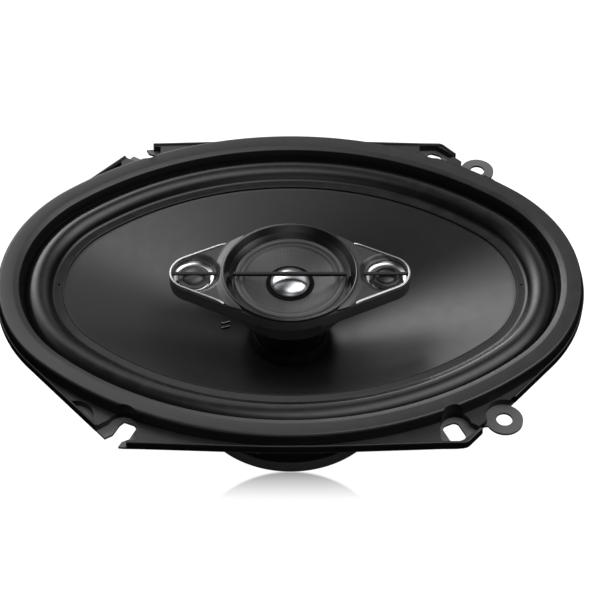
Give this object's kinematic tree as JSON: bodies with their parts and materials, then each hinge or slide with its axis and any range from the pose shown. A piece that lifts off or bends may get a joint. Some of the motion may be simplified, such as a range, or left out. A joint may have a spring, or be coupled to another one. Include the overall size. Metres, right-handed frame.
{
  "type": "coaxial car speaker",
  "caption": "Oval coaxial car speaker: pressed steel basket, ring magnet, rubber surround, and a bridge over the cone that holds a midrange between tweeters.",
  "frame": {"origin": "centre of the magnet assembly's back face, on the driver axis", "axes": "+Z along the driver axis to the front, +X along the oval's long axis to the side with the two screw ears, +Y along its short axis"},
  "size_m": [0.2246, 0.1632, 0.0729],
  "materials": {
    "black_steel": "satin black paint on pressed steel",
    "zinc_steel": "bright zinc plating",
    "ferrite": "matt dark sintered ferrite",
    "neodymium": "nickel plating",
    "trim_plastic": "fine matt moulding",
    "gloss_black": "polished",
    "bright_trim": "bright plating",
    "roll_rubber": "satin",
    "cone_skin": "woven satin",
    "woven_cone": "coarse weave",
    "cloth": "impregnated cloth",
    "coil_former": "satin",
    "copper_wire": "varnished winding",
    "silver_dome": "polished",
    "dark_dome": "satin anodised",
    "board": "laminated board",
    "brass_tab": "stamped",
    "sleeve_blue": "shrink sleeve",
    "sleeve_black": "shrink sleeve",
    "lead_plastic": "wire insulation",
    "foam": "matt"
  },
  "bodies": {
    "frame": {"basket": "black_steel", "trim_ring": "trim_plastic", "top_plate": "zinc_steel", "magnet": "ferrite", "yoke": "zinc_steel", "frame_rivets": "zinc_steel", "terminal_board": "board", "positive_tab": "brass_tab", "negative_tab": "brass_tab", "terminal_rivets": "zinc_steel", "large_capacitor": "sleeve_blue", "small_capacitor": "sleeve_black", "capacitor_leads": "zinc_steel", "feed_leads": "lead_plastic", "post": "trim_plastic", "post_screw": "zinc_steel", "bridge_housing": "trim_plastic", "bridge_screws": "zinc_steel", "centre_bezel": "gloss_black", "left_wing_trim": "bright_trim", "right_wing_trim": "bright_trim", "left_face_plate": "gloss_black", "right_face_plate": "gloss_black", "left_reflector": "bright_trim", "right_reflector": "bright_trim", "midrange_frame": "trim_plastic", "midrange_yoke": "zinc_steel", "midrange_magnet": "neodymium", "midrange_pole_plate": "zinc_steel", "left_tweeter_yoke": "zinc_steel", "right_tweeter_yoke": "zinc_steel", "left_tweeter_magnet": "neodymium", "right_tweeter_magnet": "neodymium", "left_tweeter_pole_plate": "zinc_steel", "right_tweeter_pole_plate": "zinc_steel"},
    "cone_assembly": {"cone": "cone_skin", "surround": "roll_rubber", "voice_coil_former": "coil_former", "voice_coil_winding": "copper_wire", "spider": "cloth", "tinsel_leads": "copper_wire", "lead_eyelets": "brass_tab"},
    "midrange_diaphragm": {"midrange_cone": "woven_cone", "midrange_surround": "foam", "midrange_dome": "silver_dome", "midrange_coil": "copper_wire", "midrange_seal": "foam"},
    "left_tweeter_diaphragm": {"left_tweeter_dome": "dark_dome", "left_tweeter_coil": "copper_wire"},
    "right_tweeter_diaphragm": {"right_tweeter_dome": "dark_dome", "right_tweeter_coil": "copper_wire"}
  },
  "joints": [
    {"name": "woofer_travel", "type": "slide", "parent": "frame", "child": "cone_assembly", "axis": [0, 0, 1], "range_m": [-0.004, 0.004], "stiffness_N_per_m": 3500, "deforming": ["surround", "spider", "tinsel_leads"]},
    {"name": "midrange_travel", "type": "slide", "parent": "frame", "child": "midrange_diaphragm", "axis": [0, 0, 1], "range_m": [-0.0005, 0.0005], "stiffness_N_per_m": 3000, "deforming": ["midrange_surround"]},
    {"name": "left_tweeter_travel", "type": "slide", "parent": "frame", "child": "left_tweeter_diaphragm", "axis": [0, 0, 1], "range_m": [-0.00015, 0.00015], "stiffness_N_per_m": 2500},
    {"name": "right_tweeter_travel", "type": "slide", "parent": "frame", "child": "right_tweeter_diaphragm", "axis": [0, 0, 1], "range_m": [-0.00015, 0.00015], "stiffness_N_per_m": 2500}
  ]
}
